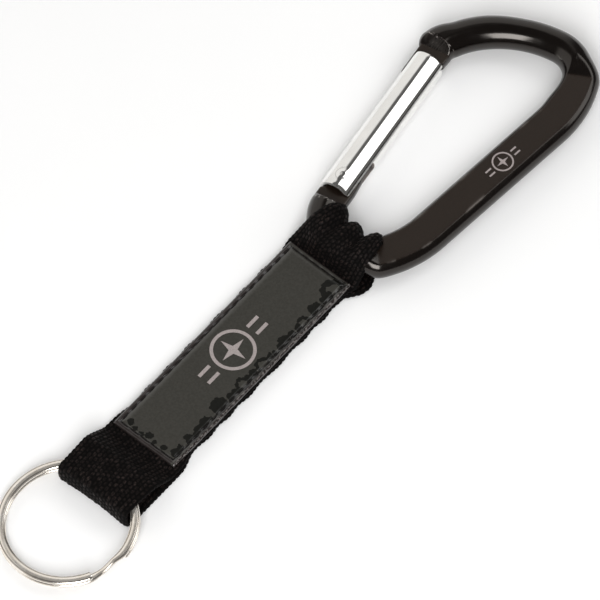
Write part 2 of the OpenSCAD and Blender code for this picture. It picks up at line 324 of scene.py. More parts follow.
def vinyl_look():
    """The card under its window: grey face, dark border, dark patches where the two cling."""
    look = Look("label_vinyl", (0.05, 0.048, 0.042), 0.12,
                IOR=1.45, Coat_Weight=0.3, Coat_Roughness=0.04)
    card = look.ramp(look.noise(0.5, 2), (0.037, 0.0355, 0.0305), (0.0445, 0.0425, 0.037))
    ragged = look.math("MULTIPLY", look.noise(1.1, 2), 0.9)
    cling = look.math("ADD", look.attribute("cling"), ragged)
    face = look.mix(look.ramp(cling, 0.0, 1.0, (0.93, 0.97)), card, (0.0075, 0.0075, 0.0062))
    streaks = look.noise(1.6, 3, (0.3, 1, 1))
    border = look.ramp(streaks, (0.018, 0.0138, 0.0128), (0.026, 0.021, 0.02))
    flat = look.mix(look.attribute("inset"), border, face)
    # The stitch line: its dark thread, and painted shade in the groove it lies in.
    seamed = look.mix(look.attribute("seam"), flat, (0.002, 0.0013, 0.0012))
    # Painted highlights: pale glints along the crinkled far edge.
    shine = look.patches("crinkled", look.noise(0.5, 4, (0.6, 1, 1)), (0.5, 0.57))
    look.colour(look.mix(shine, seamed, (0.6, 0.55, 0.53)))
    look.bump(look.noise(1.4, 2), 0.02, 0.5)
    return look.material


def thread_look():
    look = Look("black_thread", (0.004, 0.003, 0.003), 0.5, Specular_IOR_Level=0.25)
    look.colour(look.ramp(look.noise(0.15, 2), (0.0015, 0.001, 0.001), (0.009, 0.007, 0.0065)))
    look.bump(look.noise(0.12, 2), 0.02)
    return look.material


def print_look():
    look = Look("grey_print", (0.4, 0.35, 0.34), 0.5)
    grain = look.noise(0.35, 3)
    look.colour(look.ramp(grain, (0.265, 0.23, 0.225), (0.345, 0.3, 0.29), (0.3, 0.6)))
    look.bump(look.noise(0.2, 2), 0.006)
    return look.material


def floor_look():
    look = Look("pale_floor", (0.94, 0.94, 0.94), 0.7)
    look.colour(look.ramp(look.noise(60, 2), (0.935, 0.935, 0.935), (0.945, 0.945, 0.945)))
    return look.material


# --- Camera, floor and lights, in metres ---
# The object's direction that points right in the picture
VIEW_X = Vector((0.6441, -0.7649, 0.0)).normalized()
ELEVATION = math.radians(59.7)
VIEW_CENTRE = Vector((0.00237, 0.0, 0.0))
VIEW_WIDTH = 0.13333
# A long lens, as the photo shows hardly any perspective
LENS = 1200.0
CLIP_END = 60.0
WORLD_DIM = 0.11
WORLD_WALL = 0.85


def make_camera():
    data = bpy.data.cameras.new("camera")
    data.lens = LENS
    data.clip_end = CLIP_END
    level = Vector((VIEW_X.y, -VIEW_X.x, 0))
    back = level * math.cos(ELEVATION) + Vector((0, 0, math.sin(ELEVATION)))
    up = back.cross(VIEW_X)
    camera = bpy.data.objects.new("camera", data)
    turn = Matrix((VIEW_X, up, back)).transposed().to_4x4()
    distance = VIEW_WIDTH * LENS / data.sensor_width
    camera.matrix_world = Matrix.Translation(VIEW_CENTRE + back * distance) @ turn
    bpy.context.scene.collection.objects.link(camera)
    bpy.context.scene.camera = camera


def make_softbox(name, towards, distance, width, height, radiance, along=None):
    """A rectangular light that faces the object from one direction, its height along another."""
    data = bpy.data.lights.new(name, "AREA")
    data.shape = "RECTANGLE"
    data.size = width
    data.size_y = height
    data.energy = radiance * math.pi * width * height
    lamp = bpy.data.objects.new(name, data)
    away = Vector(towards).normalized()
    up = Vector(along or (0, 0, 1))
    across = up.cross(away).normalized()
    turn = Matrix((across, away.cross(across), away)).transposed().to_4x4()
    lamp.matrix_world = Matrix.Translation(away * distance) @ turn
    lamp.visible_camera = False
    bpy.context.scene.collection.objects.link(lamp)
    return lamp


def make_world():
    """A studio: a pale wall behind the gate's side, dim elsewhere and overhead."""
    world = bpy.data.worlds.new("studio")
    bpy.context.scene.world = world
    world.use_nodes = True
    tree = world.node_tree
    coords = tree.nodes.new("ShaderNodeTexCoord")
    split = tree.nodes.new("ShaderNodeSeparateXYZ")
    tree.links.new(coords.outputs["Generated"], split.inputs[0])

    def map_range(source, kind, **levels):
        node = tree.nodes.new("ShaderNodeMapRange")
        node.interpolation_type = kind
        for socket, value in levels.items():
            node.inputs[socket.replace("_", " ")].default_value = value
        tree.links.new(source, node.inputs["Value"])
        return node.outputs["Result"]

    behind = map_range(split.outputs["Y"], "SMOOTHSTEP", From_Min=0.2, From_Max=0.42)
    below = map_range(split.outputs["Z"], "SMOOTHSTEP", From_Min=0.86, From_Max=0.80)
    wall = tree.nodes.new("ShaderNodeMath")
    wall.operation = "MULTIPLY"
    tree.links.new(behind, wall.inputs[0])
    tree.links.new(below, wall.inputs[1])
    strength = map_range(wall.outputs[0], "LINEAR", To_Min=WORLD_DIM, To_Max=WORLD_WALL)
    background = tree.nodes["Background"]
    background.inputs["Color"].default_value = (1.0, 0.985, 0.96, 1)
    tree.links.new(strength, background.inputs["Strength"])


def make_stage():
    """The floor, a key light, a side light that streaks the metal, and a fill for the floor."""
    half = 20000.0
    corners = [(-half, -half, 0), (half, -half, 0), (half, half, 0), (-half, half, 0)]
    floor = lay_mesh("floor", corners, [(0, 1, 2, 3)], floor_look())
    make_softbox("key", (-0.62, -0.42, 0.66), 1.2, 0.55, 0.75, 9.0)
    make_softbox("side", (0.64, -0.385, 0.67), 1.1, 0.53, 1.3, 1.8,
                 along=(0.117, -0.831, -0.586))
    fill = make_softbox("fill", (-0.1, -0.1, 1.0), 1.6, 1.6, 1.6, 0.62)
    fill.visible_glossy = False
    make_world()


# --- Hook ---
# Half the height between a section's two flats; at OFF_H they clear the round bar
PLATE_H = 1.3
SPINE_H = 2.6
OFF_H = 4.4
# How sharply a flat meets a side arc
CREASE = 60.0
# Side arcs, each as (radius, how far its centre lies from the bar's)
ROUND_SIDE = (BAR_R, 0.0)
SPINE_IN = (3.25, 1.4)
SPINE_OUT = (2.955, 1.945)
PLATE_SIDE_R = 2.97
# The tab: its tip past the hinge, edge round, reach to either side, and the bar's ramp
TAB_TIP = 2.0
TAB_EDGE_R = 0.3
TAB_IN = 3.9
TAB_OUT = 2.6
TAB_RAMP = 1.1
# The nose: where its ramp meets the tongue, and the ramp's length and height
NOSE = 39.5
NOSE_RUN = 2.3
NOSE_RISE = BAR_R - PLATE_H
# How far the nose leans along the gate, per millimetre across it
NOSE_SHEAR = 0.08
# The tongue: its middle line, reach to either side, tip and corners, and where the gate ends
TONGUE_MIDDLE = 0.75
TONGUE_IN = 2.5
TONGUE_OUT = 4.1
TONGUE_TIP = 30.6
TONGUE_CORNER_R = 0.8
GATE_END = 36.85


class Ring(NamedTuple):
    """One section of the hook; the last three say how its surface looks, from 0 to 1: the last of
    them paints highlight glints on its edges.
    """
    at: np.ndarray
    side: np.ndarray
    height: float
    left: tuple
    right: tuple
    pressed: float = 1.0
    nose: float = 0.0
    edge_glint: float = 0.0


def station(count):
    """Centre and heading where stretch number count of the bar begins."""
    heading = GATE_TURN + math.pi
    at = HINGE[:2] + TAB_L * np.array([math.cos(heading), math.sin(heading)])
    for size, turn in BAR_RUN[:count]:
        at, heading = advance(at, heading, size, turn, 1.0)
    return at, heading


def advance(at, heading, size, turn, share):
    """Goes a share of the way along one stretch."""
    if turn == 0:
        return at + share * size * np.array([math.cos(heading), math.sin(heading)]), heading
    after = heading + math.radians(turn) * share
    side = np.array([math.sin(after) - math.sin(heading), math.cos(heading) - math.cos(after)])
    return at + size * side, after


def stretch_length(row):
    return row[0] if row[1] == 0 else row[0] * math.radians(row[1])


STARTS = np.concatenate([[0], np.cumsum([stretch_length(row) for row in BAR_RUN])])
BAR_END = STARTS[-1] + 0.3
# Where the spine's pressing begins and is full, at either end
SPINE_TOE = (STARTS[3] - 4.5, STARTS[3] - 0.8)
SPINE_CROWN = (STARTS[6] + 0.4, STARTS[7] + 0.4)


def bar_at(s):
    """Centre and left-hand direction of the bar, s millimetres past its tab."""
    i = int(np.clip(np.searchsorted(STARTS, s, side="right") - 1, 0, len(BAR_RUN) - 1))
    at, heading = station(i)
    at, heading = advance(at, heading, *BAR_RUN[i], (s - STARTS[i]) / stretch_length(BAR_RUN[i]))
    return at, np.array([-math.sin(heading), math.cos(heading)])


def section(angles, height, left, right):
    """Radii of one section, and how far each point lies on its flats rather than its side arcs."""
    radius = np.where(np.cos(angles) >= 0, left[0], right[0])
    centre = np.where(np.cos(angles) >= 0, left[1], right[1])
    across, up = np.abs(np.cos(angles)), np.maximum(np.abs(np.sin(angles)), 1e-6)
    side = centre * across + np.sqrt(radius ** 2 - (centre * up) ** 2)
    side = np.where(side * across < centre, radius / up, side)
    on_flat, on_side = (height / up) ** -CREASE, side ** -CREASE
    return (on_flat + on_side) ** (-1 / CREASE), on_flat / (on_flat + on_side)


def plate_side(reach):
    """The side arc of a plate that reaches so far from the section's centre."""
    return (PLATE_SIDE_R, reach - PLATE_SIDE_R)


def lerp(a, b, t):
    return tuple(x + (y - x) * t for x, y in zip(a, b))


def on_axis(along, across=0.0):
    """The plan point that lies along and across the closed gate, from its hinge."""
    return HINGE[:2] + along * GATE_X + across * GATE_Y


def gate_place(point):
    """A plan point as (along, across) the closed gate, from its hinge."""
    return (point - HINGE[:2]) @ GATE_X, (point - HINGE[:2]) @ GATE_Y


def tab_outer(x):
    """The tab's outer edge is round about the hinge, so that it turns inside the tube's bore."""
    return math.sqrt(TAB_OUT ** 2 - max(x, 0.0) ** 2)


def tab_rings():
    """The tab, from its tip past the hinge to where the bar is round."""
    rings = []
    for back in (0.0, 0.03, 0.1, 0.19):
        inset = TAB_EDGE_R - math.sqrt(TAB_EDGE_R ** 2 - (TAB_EDGE_R - back) ** 2)
        outer = tab_outer(TAB_TIP - back) - inset
        rings.append(Ring(on_axis(TAB_TIP - back), -GATE_Y, PLATE_H - inset,
                          plate_side(TAB_IN - inset), plate_side(outer)))
    # It's wider behind the hinge.
    wider_in, wider_out = 0.3, 0.9
    for x in np.linspace(TAB_TIP - TAB_EDGE_R, -TAB_L, 22):
        inner = TAB_IN + wider_in * smooth((TAB_TIP - x) / 4)
        outer = tab_outer(x) + wider_out * smooth((-3.4 - x) / 0.7)
        rings.append(Ring(on_axis(x), -GATE_Y, PLATE_H, plate_side(inner), plate_side(outer)))
    inner, outer = plate_side(TAB_IN + wider_in), plate_side(TAB_OUT + wider_out)
    # The ramp up to the round bar; its top edge carries painted highlight glints.
    for t in np.linspace(0.12, 1, 8):
        at, side = bar_at(TAB_RAMP * t)
        rings.append(Ring(at, side, PLATE_H + (OFF_H - PLATE_H) * t,
                          lerp(inner, ROUND_SIDE, smooth(t)), lerp(outer, ROUND_SIDE, smooth(t)),
                          pressed=min(1.0, 5 - 5 * t), edge_glint=smooth((t - 0.7) / 0.2)))
    return rings


def bar_rings():
    """The bar round to the nose, which is square to the gate, with its pressed spine."""
    rings = []
    # The rings lie closer over this last stretch.
    fine = 6.0
    spine_edge_h, edge_glint_h = 3.75, 3.45
    # The nose flares early on both sides, then more on its outer side.
    early, late = 0.45, 1.0
    for s in np.concatenate([np.linspace(TAB_RAMP + 0.4, BAR_END - fine, 350),
                             np.linspace(BAR_END - fine, BAR_END, 45)[1:]]):
        at, side = bar_at(s)
        to_end = BAR_END - s
        ramp = min((s - SPINE_TOE[0]) / (SPINE_TOE[1] - SPINE_TOE[0]),
                   (SPINE_CROWN[1] - s) / (SPINE_CROWN[1] - SPINE_CROWN[0]))
        height = OFF_H
        if ramp > 0:
            height = spine_edge_h + (SPINE_H - spine_edge_h) * min(ramp * 1.02, 1)
        pressed = smooth(ramp)
        turned = smooth((5.0 - to_end) / 4.5)
        side = side * (1 - turned) - GATE_Y * turned
        along, across = gate_place(at)
        if to_end < 5 and along < NOSE + NOSE_RUN + 0.1:
            height = min(height, PLATE_H + (along - NOSE) * NOSE_RISE / NOSE_RUN)
        flare_in = early * smooth((4 - to_end) / 4)
        flare = (early * smooth((22 - to_end) / 10)
                 + late * smooth((7 - to_end) / 4.5))
        if to_end < 3:
            back = np.clip((along - NOSE) / NOSE_RUN, 0, 1)
            flare = min(flare, 4.35 + 0.85 * (1 - (1 - back) ** 2) - across - BAR_R)
        widened = min(pressed, smooth((STARTS[6] + 1 - s) / 9))
        # Painted highlight glints along the nose step's upper edge.
        edge_glint = math.exp(-((height - edge_glint_h) / 0.14) ** 2) if to_end < fine else 0.0
        rings.append(Ring(at, side / np.linalg.norm(side), height,
                          lerp((BAR_R, flare_in), SPINE_IN, widened),
                          lerp((BAR_R, flare), SPINE_OUT, pressed),
                          smooth((ramp - 0.9) / 0.1), turned, edge_glint))
    return rings


def neck(x):
    """How much wider the tongue is on its inner side, past the gate's end."""
    return smooth((x - GATE_END) / 0.4) * (0.85 + 0.1 * (x - GATE_END))


def tongue_rings(last):
    """The flat tongue that the gate closes on, from the bar's last ring to its own tip."""
    rings = []
    along, across = gate_place(last.at)
    inner, outer = TONGUE_IN + TONGUE_MIDDLE, TONGUE_OUT - TONGUE_MIDDLE
    for t in np.linspace(0.15, 1, 6):
        at = on_axis(along + (NOSE - along) * t, across + (TONGUE_MIDDLE - across) * t)
        rings.append(Ring(at, -GATE_Y, last.height + (PLATE_H - last.height) * t,
                          lerp(last.left, plate_side(inner + neck(NOSE)), smooth(t)),
                          lerp(last.right, plate_side(outer), smooth(t)), float(t), 1.0))
    shoulder = TONGUE_TIP + TONGUE_CORNER_R
    rounding = TONGUE_TIP + TONGUE_CORNER_R * np.array([0.75, 0.5, 0.3, 0.15, 0.05, 0])
    for x in np.concatenate([np.linspace(NOSE - 0.15, 36.6, 18),
                             np.linspace(36.2, shoulder, 16), rounding]):
        fall = max(shoulder - x, 0)
        corner = TONGUE_CORNER_R - math.sqrt(max(TONGUE_CORNER_R ** 2 - fall ** 2, 0))
        inset = 0.25 * smooth((TONGUE_TIP + 0.25 - x) / 0.25)
        rings.append(Ring(on_axis(x, TONGUE_MIDDLE), -GATE_Y, PLATE_H - inset,
                          plate_side(inner + neck(x) - corner), plate_side(outer - corner),
                          nose=smooth((x - NOSE + 2) / 2)))
    return rings


def hook_rings():
    bar = bar_rings()
    return tab_rings() + bar + tongue_rings(bar[-1])


def make_hook(material):
    # Points lie closer beside the spine's four creases.
    near = np.radians([-2.6, -1.5, -0.7, 0.0, 0.7, 1.5, 2.6])
    spine_crease = math.atan2(SPINE_H, 3.35)
    extra = [base + sign * (spine_crease + near) for base in (0, math.pi) for sign in (1, -1)]
    angles = np.mod(np.concatenate([full_turn(168), *extra]), 2 * math.pi)
    angles = np.unique(np.round(angles, 5))
    up = np.sin(angles)
    mark_h, mark_pitch = 0.05, 0.6
    rows, pressed, crease_glint, edge_glint = [], [], [], []
    for ring in hook_rings():
        radii, on_flat = section(angles, ring.height, ring.left, ring.right)
        lateral = radii * np.cos(angles)
        plan = ring.at + lateral[:, None] * ring.side
        plan = plan + (NOSE_SHEAR * ring.nose * lateral)[:, None] * GATE_X
        marked = mark_h * on_flat * ring.nose * (ring.pressed < 1)
        tool_marks = marked * np.cos(2 * math.pi * lateral / mark_pitch + np.sin(3 * lateral))
        rows.append(np.column_stack([plan, BAR_Z + radii * up + tool_marks * np.sign(up)]))
        pressed.append(on_flat * ring.pressed)
        # Painted highlights: glints along the creases where the flats meet the side arcs.
        crease_glint.append(4 * on_flat * (1 - on_flat) * (ring.height < BAR_R))
        # The edge glints, painted highlights, go on the upper side only.
        edge_glint.append(ring.edge_glint * (up > 0.35))
    points, faces = capped_tube(np.array(rows))
    hook = lay_mesh("hook_frame", points, faces, material, 50)
    for name, values in (("pressed", pressed), ("crease_glint", crease_glint), ("edge_glint", edge_glint)):
        store(hook, name, np.concatenate(values))
    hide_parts("carabiner_frame")
    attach(hook, "hook")


# --- Gate ---
def make_gate_tube(material):
    """A drawn tube with a slot in each end, as outer and inner walls joined by rounded rims."""
    half_slot, lip, bevel = 1.55, 0.1, 0.03
    # Places along the gate: its heel and the slot there, its nose and the slot and notch there
    heel, hinge_slot, nose, nose_slot, notch = -3.4, 7.4, 36.6, 30.0, 35.8
    slot_r, notch_r, nose_r, nose_in_r, heel_r = 0.7, 0.3, 1.1, 0.35, 0.5

    def corner(gap, radius):
        """How far a rounded corner falls back at this gap from its side wall."""
        return radius - math.sqrt(max(radius ** 2 - max(radius - gap, 0) ** 2, 0))

    def stops(radius):
        """Angles of the slots' side walls on one wall of the tube, and the first again."""
        slot = math.asin(half_slot / radius)
        return [-slot, slot, math.pi - slot, math.pi + slot, 2 * math.pi - slot]

    out, into = stops(TUBE_R), stops(BORE_R)
    sectors = (("outer", 25), ("upper ear", 61), ("inner", 25), ("lower ear", 61))
    columns = []
    for n, (kind, steps) in enumerate(sectors):
        a, b, a_in, b_in = *out[n:n + 2], *into[n:n + 2]
        for t in np.linspace(0, 1, steps):
            t = 0.5 - 0.5 * math.cos(math.pi * t)
            to_a = t * (b - a) * TUBE_R
            to_b = (1 - t) * (b - a) * TUBE_R
            low, high, shaded = heel, nose, False
            if kind == "outer":
                high = nose_slot + corner(min(to_a, to_b), slot_r)
            elif kind == "inner":
                low = hinge_slot - corner(min(to_a, to_b), slot_r)
                high = notch - corner(min(to_a, to_b), notch_r)
                shaded = True
            else:
                outer_gap, inner_gap = (to_a, to_b) if kind == "upper ear" else (to_b, to_a)
                high = nose - corner(outer_gap, nose_r) - corner(inner_gap, nose_in_r)
                low = heel + corner(inner_gap, heel_r)
                shaded = inner_gap < 0.05
            columns.append((a + (b - a) * t, a_in + (b_in - a_in) * t, low, high, shaded))
    # "cut" says how rough a point is, and "bore" how much painted shade darkens it.
    shares = np.linspace(0, 1, 60)
    rows, cut, bore = [], [], []
    for angle, inner_angle, low, high, shaded in columns:
        reach = high - low - 2 * lip
        outer = [(low + lip + reach * t, TUBE_R, angle) for t in shares]
        inner = [(high - lip - reach * t, BORE_R, inner_angle) for t in shares]
        rim_high = [(high - bevel, TUBE_R - bevel, angle), (high, TUBE_R - lip, angle),
                    (high, BORE_R + lip, inner_angle)]
        rim_low = [(low, BORE_R + lip, inner_angle), (low, TUBE_R - lip, angle),
                   (low + bevel, TUBE_R - bevel, angle)]
        rows.append([(x, r * math.cos(q), r * math.sin(q))
                     for x, r, q in outer + rim_high + inner + rim_low])
        cut += [0.0] * len(shares) + [0.3, 1.0, 1.0] + [0.4] * len(shares) + [1.0, 1.0, 0.3]
        bore += [0.0] * (len(shares) + 3) + [1.0] * len(shares) + [0.8 * shaded] * 2 + [0.0]
    rows = np.array(rows)
    faces = grid_faces(rows.shape[0], rows.shape[1], wrap_rows=True, wrap_columns=True)
    tube = lay_mesh("gate_sleeve", on_gate(rows).reshape(-1, 3), faces, material, 32)
    store(tube, "cut", cut)
    store(tube, "bore", bore)
    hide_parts("gate_tube")
    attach(tube, "gate")


def make_rivet(material):
    """Low domed heads that follow the tube, each with a small dimple, on one shank."""
    head_r, shank_r, shank_half, rise = 1.9, 1.2, 3.2, 0.12
    dimple_r, rim_r = 0.5, 1.58
    radii = [0.0, 0.15, 0.3, 0.4, 0.5, 0.6, 0.7, 0.85, 1.0,
             1.15, 1.3, 1.4, 1.5, 1.58, 1.66, 1.74, 1.82, head_r]
    around = 48
    turns = full_turn(around)
    points, faces = [], []
    for up in (1, -1):
        first = len(points)
        for r in radii:
            dimple = 0.04 * smooth((0.72 - r) / 0.5)
            dome = rise * smooth((head_r - r) / head_r) - dimple
            for q in turns:
                x, y = r * math.cos(q), r * math.sin(q)
                points.append((x, y, up * (math.sqrt(TUBE_R ** 2 - y * y) + dome)))
        points += [(shank_r * math.cos(q), shank_r * math.sin(q), up * shank_half) for q in turns]
        faces += grid_faces(len(radii) + 1, around, wrap_columns=True, first=first)
    # The shank joins the last ring of each head.
    upper, lower = len(points) // 2 - around, len(points) - around
    for k in range(around):
        after = (k + 1) % around
        faces.append([upper + k, upper + after, lower + after, lower + k])
    points = np.array(points)
    rivet = lay_mesh("hinge_rivet_domed", on_gate(points), faces, material, 40)
    out = np.hypot(points[:, 0], points[:, 1])
    # Painted shade: a dark ring round the head and another in its dimple.
    store(rivet, "bore", 0.3 * np.exp(-((out - rim_r) / 0.09) ** 2)
          + 0.55 * np.exp(-((out - dimple_r) / 0.09) ** 2))
    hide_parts("hinge_rivet")
    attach(rivet, "gate")


def make_spring(material):
    """The coil between the plunger and the tube's neck, with closed ends."""
    wire_r, coil_r, turns, low, high = 0.25, 2.1, 10, 3.7, 23.9
    t = np.linspace(0, 1, turns * 36 + 1)
    turn = 2 * math.pi * turns * t
    rise = np.clip((t - 0.04) / 0.92, 0, 1)
    along = low + wire_r + (high - low - 2 * wire_r) * rise
    centre = np.column_stack([along, coil_r * np.cos(turn), coil_r * np.sin(turn)])
    out = np.column_stack([np.zeros_like(turn), np.cos(turn), np.sin(turn)])
    sides = full_turn(14)
    section_out = np.cos(sides)[None, :, None] * out[:, None, :]
    section_along = np.sin(sides)[None, :, None] * np.array([1.0, 0, 0])
    points, faces = capped_tube(centre[:, None, :] + wire_r * (section_out + section_along))
    spring = lay_mesh("gate_spring_coil", on_gate(points), faces, material, 50)
    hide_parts("gate_spring")
    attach(spring, "gate")
    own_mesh(spring)


# --- Webbing ---
# The tape's half thickness, its yarns' height, and their pitch across and along it
HALF_T = 0.45
BUMP = 0.27
WARP = 0.95
WEFT = 1.25
# Heights of the back and front layers' middles
LAYER_LOW = HALF_T + BUMP
LAYER_HIGH = 1.9
# The back layer lies this much further from the gate
BACK_SHIFT = 0.35
# Places across the flat tape, and the ends of its flat part
V = np.linspace(-WEB_W / 2, WEB_W / 2, 120)
PANEL_LOW = -49.0
PANEL_HIGH = 8.5


def weave(u, v):
    """Height of the yarns, from 0 to 1: warp floats, staggered from one to the next."""
    column = np.floor(v / WARP)
    a = (v / WARP - column - 0.5) * 2
    shifted = u / WEFT + 0.5 * np.mod(column, 2) + 0.12 * np.sin(column * 12.9 + u * 0.9)
    row = np.floor(shifted)
    b = (shifted - row - 0.5) * 2
    b = b + 0.22 * a * np.where(np.mod(column, 2) == 0, 1, -1)
    height = np.sqrt(np.clip(1 - a * a, 0, 1)) * np.sqrt(np.clip(1 - np.abs(b) ** 2.4, 0, 1))
    jitter = np.modf(np.abs(np.sin(column * 127.1 + row * 311.7) * 43758.5453))[0]
    return height * (0.5 + 0.5 * jitter)


def unit(vectors):
    return vectors / np.maximum(np.linalg.norm(vectors, axis=-1, keepdims=True), 1e-9)


def make_tape(name, centre, u, v, material, half_t=HALF_T, pressed=0.0):
    """A woven tape: centre is its middle surface (along, across, 3), u and v its flat places."""
    across = np.gradient(centre, axis=1)
    normal = unit(np.cross(np.gradient(centre, axis=0), across))
    outward = unit(across)
    uu, vv = np.meshgrid(u, v, indexing="ij")
    top = weave(uu, vv) * (1 - pressed)
    low = weave(uu + 0.4 * WEFT, vv)
    upper = centre + normal * (half_t * 0.92 + BUMP * top)[..., None]
    under = centre - normal * (half_t * 0.92 + BUMP * low)[..., None]
    round_off = np.linspace(0, math.pi, 7)[1:-1]
    edge_r = 0.3 + 0.2 * np.abs(np.sin(math.pi * u / WEFT))[:, None]

    def edge(side, sign):
        """The round edge on one side, from the face that sign points to."""
        return np.stack([centre[:, side] + sign * normal[:, side] * half_t * 0.95 * math.cos(q)
                         + sign * outward[:, side] * edge_r * math.sin(q) for q in round_off], 1)

    rings = np.concatenate([upper, edge(-1, 1), under[:, ::-1], edge(0, -1)], 1)
    points, faces = capped_tube(rings)
    tape = lay_mesh(name, points, faces, material)
    # The round edges are painted half lit.
    edge_weave = np.full((len(u), len(round_off)), 0.45)
    store(tape, "weave", np.concatenate([top, edge_weave, low[:, ::-1], edge_weave], 1))
    return tape


def resampled(path, count):
    """Points evenly spaced along a path, and how far along it each lies."""
    gaps = np.linalg.norm(np.diff(path, axis=0), axis=1)
    s = np.concatenate([[0], np.cumsum(gaps)])
    even = np.linspace(0, s[-1], count)
    return np.column_stack([np.interp(even, s, path[:, k]) for k in range(path.shape[1])]), even


def eased(path, passes):
    """Rounds a path's corners by averaging neighbours, and keeps its ends."""
    for _ in range(passes):
        path = path.copy()
        path[1:-1] = (path[:-2] + 2 * path[1:-1] + path[2:]) / 4
    return path


def drawn_in(v):
    """Where the stitching leaves a point v across the flat tape; it pulls more on the far side."""
    return v * (1 - np.where(np.asarray(v) < 0, 0.11, 0.07))


def make_panels(material):
    """The two flat layers under the label, which presses the front one's yarns flat."""
    u = np.arange(PANEL_LOW, PANEL_HIGH + 0.1, 0.2)
    sewn = smooth((u - PANEL_LOW) / 6)
    wave = 0.2 * np.sin(u / 1.3 + np.sin(u / 5.0)) * sewn * smooth((PANEL_HIGH - u) / 3)
    across = (V[None, :] + (drawn_in(V) - V)[None, :] * sewn[:, None]
              + 2 * wave[:, None] * (V / WEB_W)[None, :])
    for name, node, z in (("web_front_layer", "webbing_front", LAYER_HIGH),
                          ("web_back_layer", "webbing_back", LAYER_LOW)):
        front = z == LAYER_HIGH
        y = STRAP_Y + across - (0 if front else BACK_SHIFT) * (1 - sewn[:, None])
        centre = np.stack(np.broadcast_arrays(u[:, None], y, z), -1)
        plan = centre[..., :2]
        inside = np.minimum(plan - LABEL_LOW[:2], LABEL_HIGH[:2] - plan).min(-1)
        tape = make_tape(name, centre, u, V, material,
                         pressed=smooth(inside / 0.3) if front else 0.0)
        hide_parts(node)
        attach(tape, "strap")


def make_tail(material):
    """The loop that holds the ring, folded below the label."""
    corners = np.array([
        (PANEL_LOW, LAYER_HIGH), (-51.6, LAYER_HIGH), (-57.6, 5.95), (-66.7, 6.1),
        (-66.9, 3.3), (-66.6, LAYER_LOW), (-60.0, LAYER_LOW), (PANEL_LOW, LAYER_LOW)])
    path, _ = resampled(corners, 400)
    path, s = resampled(eased(path, 60), 215)
    x, z = path[:, :1], path[:, 1:]
    u = PANEL_LOW - s
    lean = 0.5 * np.sin(math.pi * np.clip(s / 17, 0, 1)) ** 2
    bow = 0.25 * np.cos(V / 4.5)[None, :] * smooth((-58 - x) / 6)
    crown = 0.25 * (1 - (2 * V / WEB_W) ** 2)[None, :] * smooth((z - 4) / 1.5)
    y = (STRAP_Y + V[None, :] + lean[:, None] * (V / WEB_W)[None, :]
         - BACK_SHIFT * smooth((s - 22) / 4)[:, None])
    centre = np.stack([x + bow, y, z + crown], -1)
    tape = make_tape("web_tail_loop", centre[:, ::-1], u, V[::-1], material)
    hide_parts("webbing_tail_loop")
    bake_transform(tape)


# The gathered webbing's inside edge, as (across the tape, x, y): three lobes and two valleys
LOBES = np.array([
    (-9.5, 22.4, -7.2), (-7.6, 23.7, -6.0), (-6.2, 23.8, -4.8), (-4.7, 22.3, -3.9),
    (-3.4, 20.35, -3.1), (-2.4, 21.3, -2.2), (-0.8, 22.6, -0.6), (0.7, 22.9, 0.7),
    (1.9, 21.8, 1.7), (3.2, 20.35, 2.2), (4.4, 21.9, 3.0), (6.2, 23.5, 4.1),
    (7.9, 24.5, 5.3), (9.5, 23.8, 6.7)])


def top_loop_path(v, half_t):
    """The loop's middle line at one place across the tape, from the front layer to the back."""
    wrap_r = BAR_R + 0.06 + half_t + BUMP
    foot_s = (STARTS[1] + STARTS[2]) / 2
    at, _ = bar_at(foot_s - (0.91 * v - BACK_SHIFT))
    inner = np.array([np.interp(v, LOBES[:, 0], LOBES[:, column]) for column in (1, 2)])
    lobe = 0.35 * (inner[0] - 22.4)
    sewn_y = STRAP_Y + drawn_in(v)
    foot = np.array([11.6, STRAP_Y + v])
    back = at - foot
    far = np.linalg.norm(back)
    low = LAYER_HIGH - BAR_Z
    # The tape rises straight from its foot to a tangent of the circle round the bar.
    slope = math.atan2(-low, far) + math.asin(min(wrap_r / math.hypot(far, low), 1.0))
    quarter = np.linspace(0, math.pi / 2, 30)[1:]
    path = [(PANEL_HIGH, sewn_y, LAYER_HIGH), (*foot, LAYER_HIGH)]
    for q in np.linspace(math.pi / 2 + slope, math.pi / 2, 24):
        fold = lobe * smooth((math.pi * 0.75 - q) / 0.8)
        path.append((*(at + back / far * wrap_r * math.cos(q)),
                     BAR_Z + fold + wrap_r * math.sin(q)))
    for q in quarter:
        path.append((*(at + (inner - at) * math.sin(q)), BAR_Z + (wrap_r + lobe) * math.cos(q)))
    for q in quarter:
        path.append((*(inner + (at - inner) * (1 - math.cos(q))),
                     BAR_Z + (LAYER_LOW - BAR_Z) * math.sin(q)))
    # One corner of the underside is drawn in.
    corner = 1.5 * smooth((-v - 4.5) / 5)
    path += [(14.5, STRAP_Y + v - BACK_SHIFT - corner, LAYER_LOW),
             (12.0, STRAP_Y + v - BACK_SHIFT - 0.7 * corner, LAYER_LOW),
             (PANEL_HIGH, sewn_y, LAYER_LOW)]
    path, _ = resampled(np.array(path), 300)
    return resampled(eased(path, 14), 215)[0]


def make_top_loop(material):
    """The webbing's loop round the hook's foot, spread on top and gathered into lobes inside."""
    half_t = 0.34
    centre = np.stack([top_loop_path(v, half_t) for v in V], 1)
    for _ in range(3):
        centre[:, 1:-1] = (centre[:, :-2] + 2 * centre[:, 1:-1] + centre[:, 2:]) / 4
    middle = centre[:, len(V) // 2]
    steps = np.linalg.norm(np.diff(middle, axis=0), axis=1)
    u = PANEL_HIGH + np.concatenate([[0], np.cumsum(steps)])
    tape = make_tape("web_top_loop", centre, u, V, material, half_t)
    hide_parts("webbing_top_loop")
    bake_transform(tape)


# --- Label ---
# The stitches' inset from the label's edge, and the pitch of their puckers
STITCH_INSET = 1.2
STITCH_PITCH = 2.9
SEWN_LOW = LABEL_LOW[:2] + STITCH_INSET
SEWN_HIGH = LABEL_HIGH[:2] - STITCH_INSET


